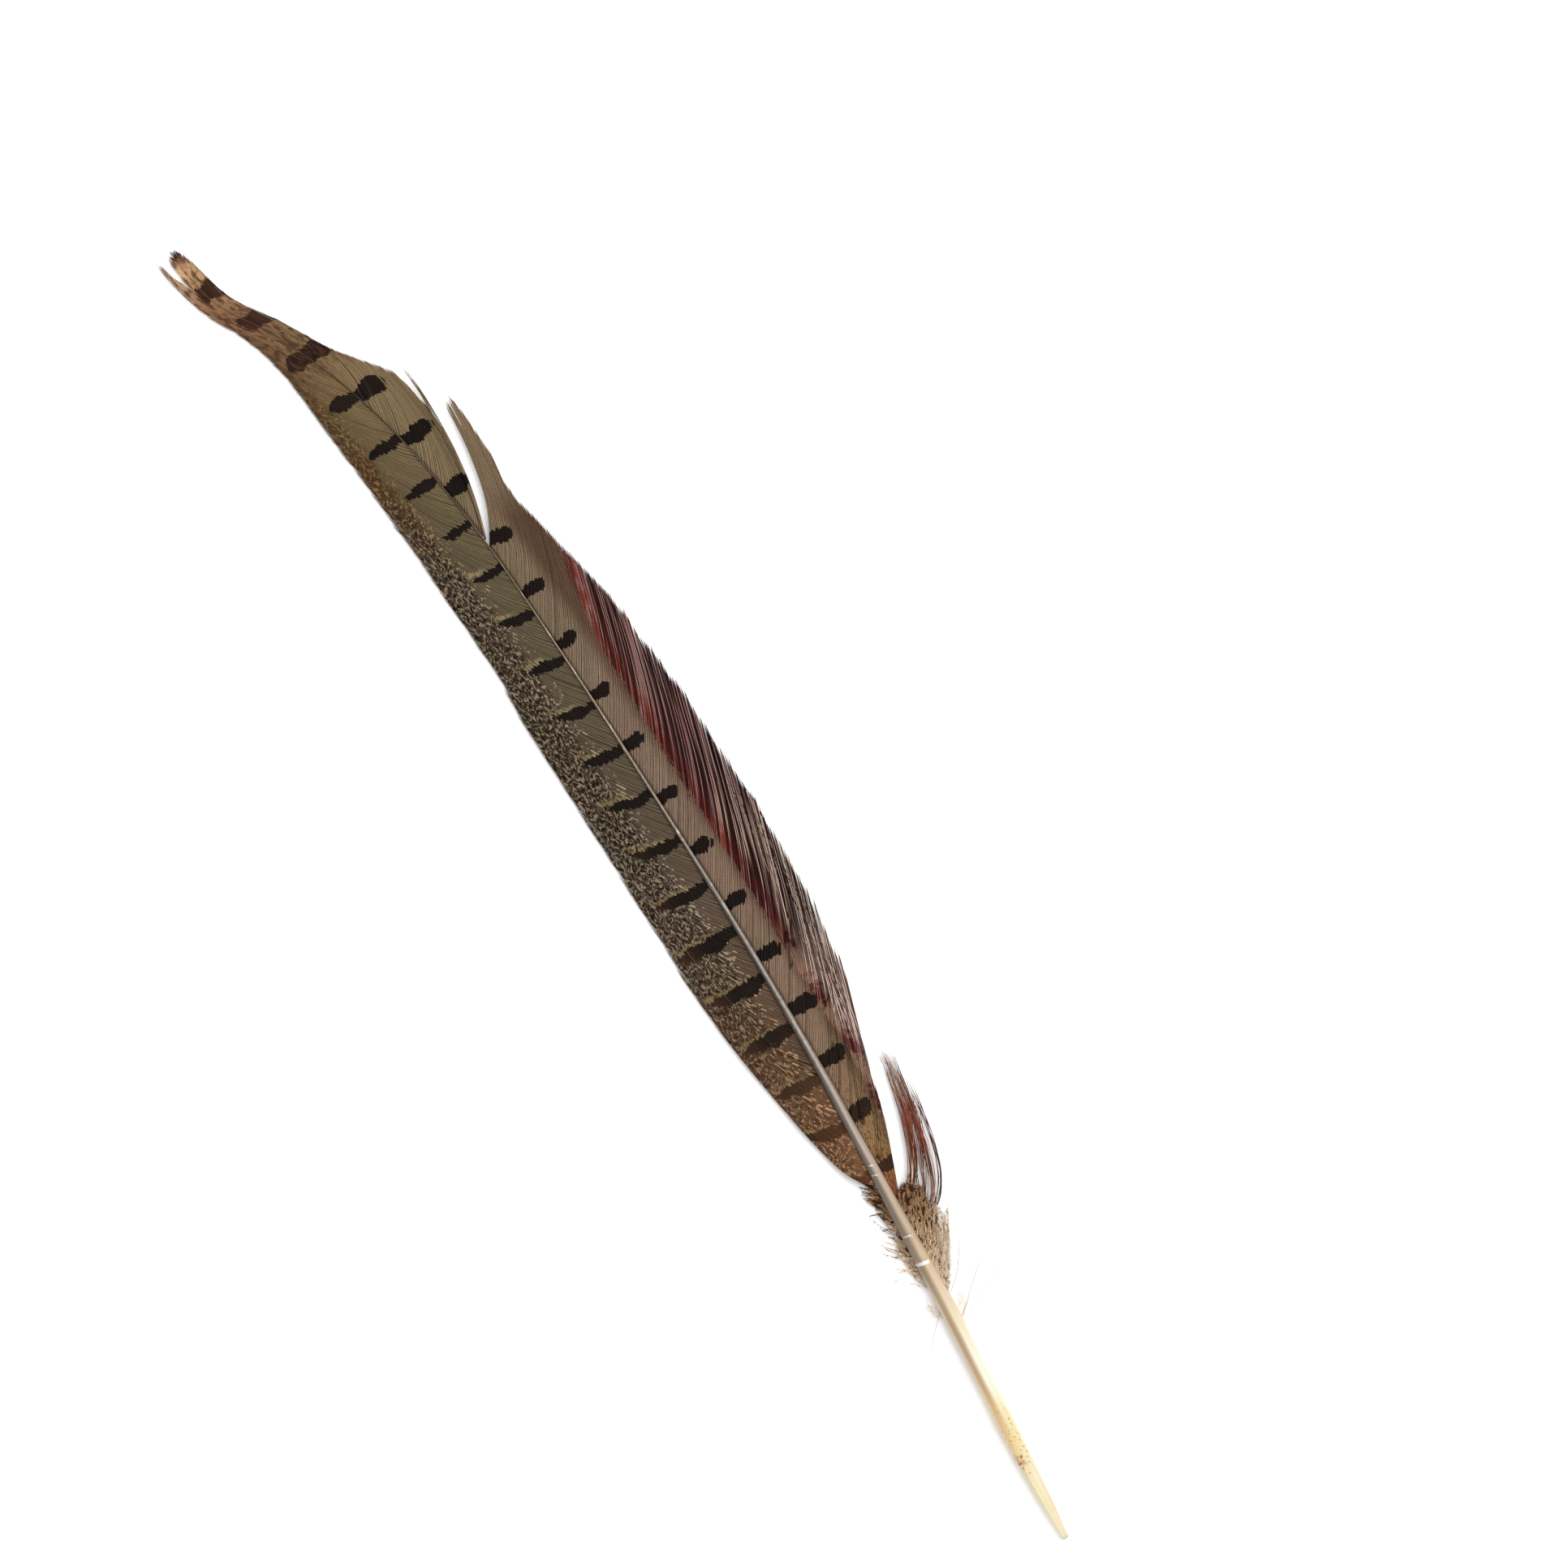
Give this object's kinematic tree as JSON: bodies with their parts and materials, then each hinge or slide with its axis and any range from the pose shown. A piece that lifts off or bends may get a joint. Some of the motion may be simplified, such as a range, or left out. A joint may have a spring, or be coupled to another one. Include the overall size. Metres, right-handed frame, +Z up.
{
  "type": "pheasant tail feather",
  "caption": "Long barred tail feather lying flat: tapering bowed quill, a web on each side with a split near the frayed tip, and tufts of down above the bare shaft.",
  "frame": {"origin": "middle of the feather's outline as seen from above, on the surface that it lies on", "axes": "+Z up out of the feather's upper side, +Y along the feather from the end of the quill to the tip, +X to its right"},
  "size_m": [0.0342, 0.2814, 0.0035],
  "materials": {
    "horn": "satin, translucent horn",
    "web": "matte with a faint silky sheen",
    "down": "matte, soft"
  },
  "bodies": {
    "root": {"quill": "horn", "left_web": "web", "right_web": "web", "right_tip_web": "web", "right_loose_barbs": "web", "left_down": "down", "right_down": "down"}
  },
  "joints": []
}
